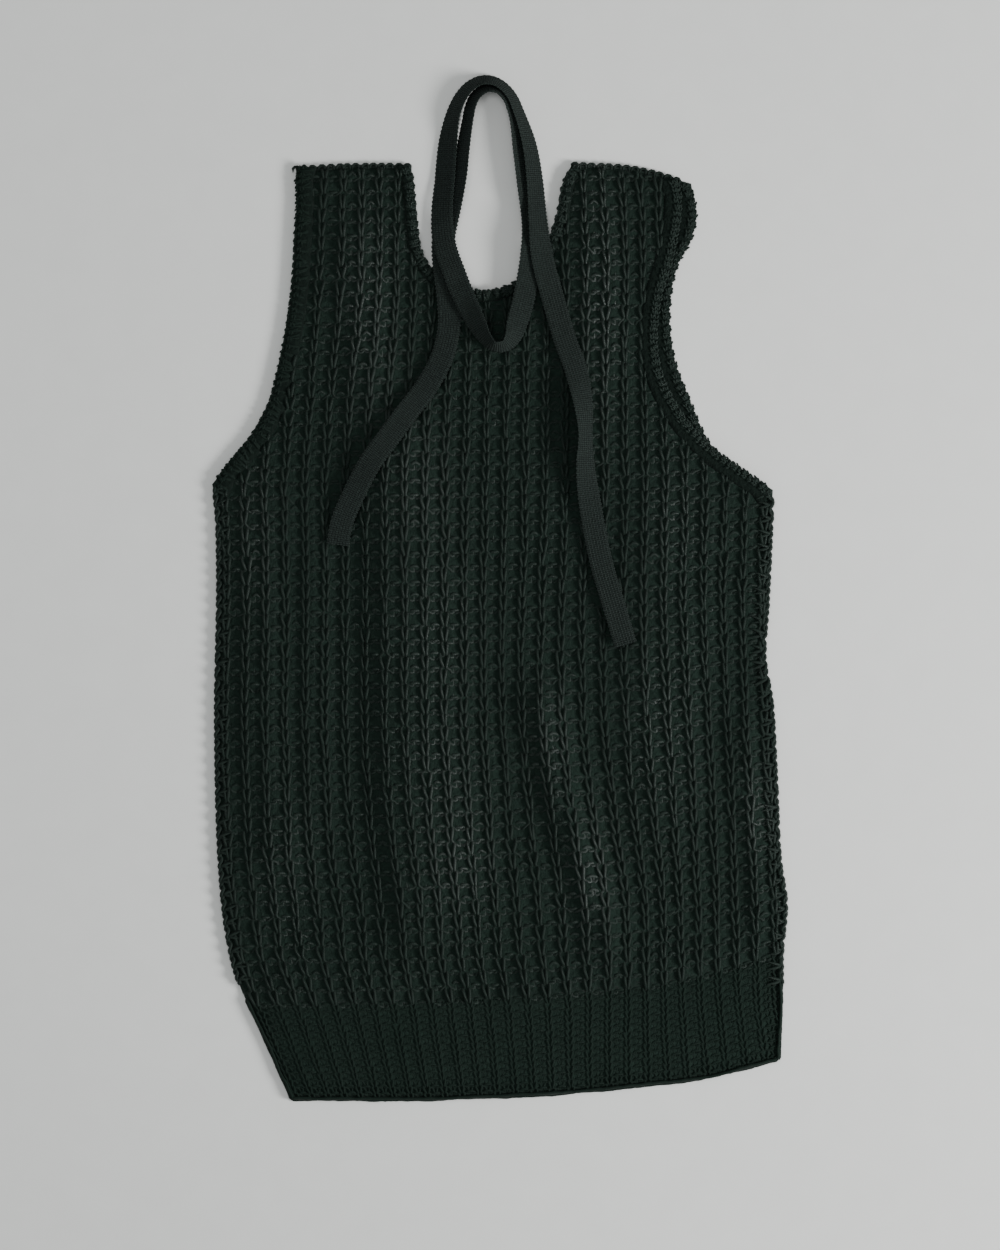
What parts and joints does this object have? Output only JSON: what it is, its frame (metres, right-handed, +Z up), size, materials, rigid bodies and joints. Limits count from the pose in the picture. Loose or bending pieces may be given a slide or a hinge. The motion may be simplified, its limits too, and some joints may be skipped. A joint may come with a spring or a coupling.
{
  "type": "knitted sweater vest laid flat with a neck tie",
  "caption": "Sleeveless open rib knit vest with a scoop neck and a long flat knitted neck tie, laid flat on its back.",
  "frame": {"origin": "on the surface that the vest lies on, under the middle of its outline", "axes": "+X towards the right of the vest as seen from above, +Y from hem to shoulders, +Z up off the surface"},
  "size_m": [0.4145, 0.7394, 0.0238],
  "materials": {
    "body_knit": "open 1x1 rib knit in thick black yarn, slightly shiny",
    "hem_knit": "closer rib knit in thick black yarn",
    "trim_knit": "narrow ridged picked-up band in black yarn",
    "tie_tape": "fine flat knitted tape, a little greyer than the body"
  },
  "bodies": {
    "root": {"back_panel": "body_knit", "back_hem_rib": "hem_knit", "front_panel": "body_knit", "front_hem_rib": "hem_knit", "left_armhole_trim_front": "trim_knit", "left_armhole_trim_back": "trim_knit", "right_armhole_trim_front": "trim_knit", "right_armhole_trim_back": "trim_knit", "neck_trim_front": "trim_knit", "neck_trim_back": "trim_knit", "neck_tie": "tie_tape"}
  },
  "joints": []
}
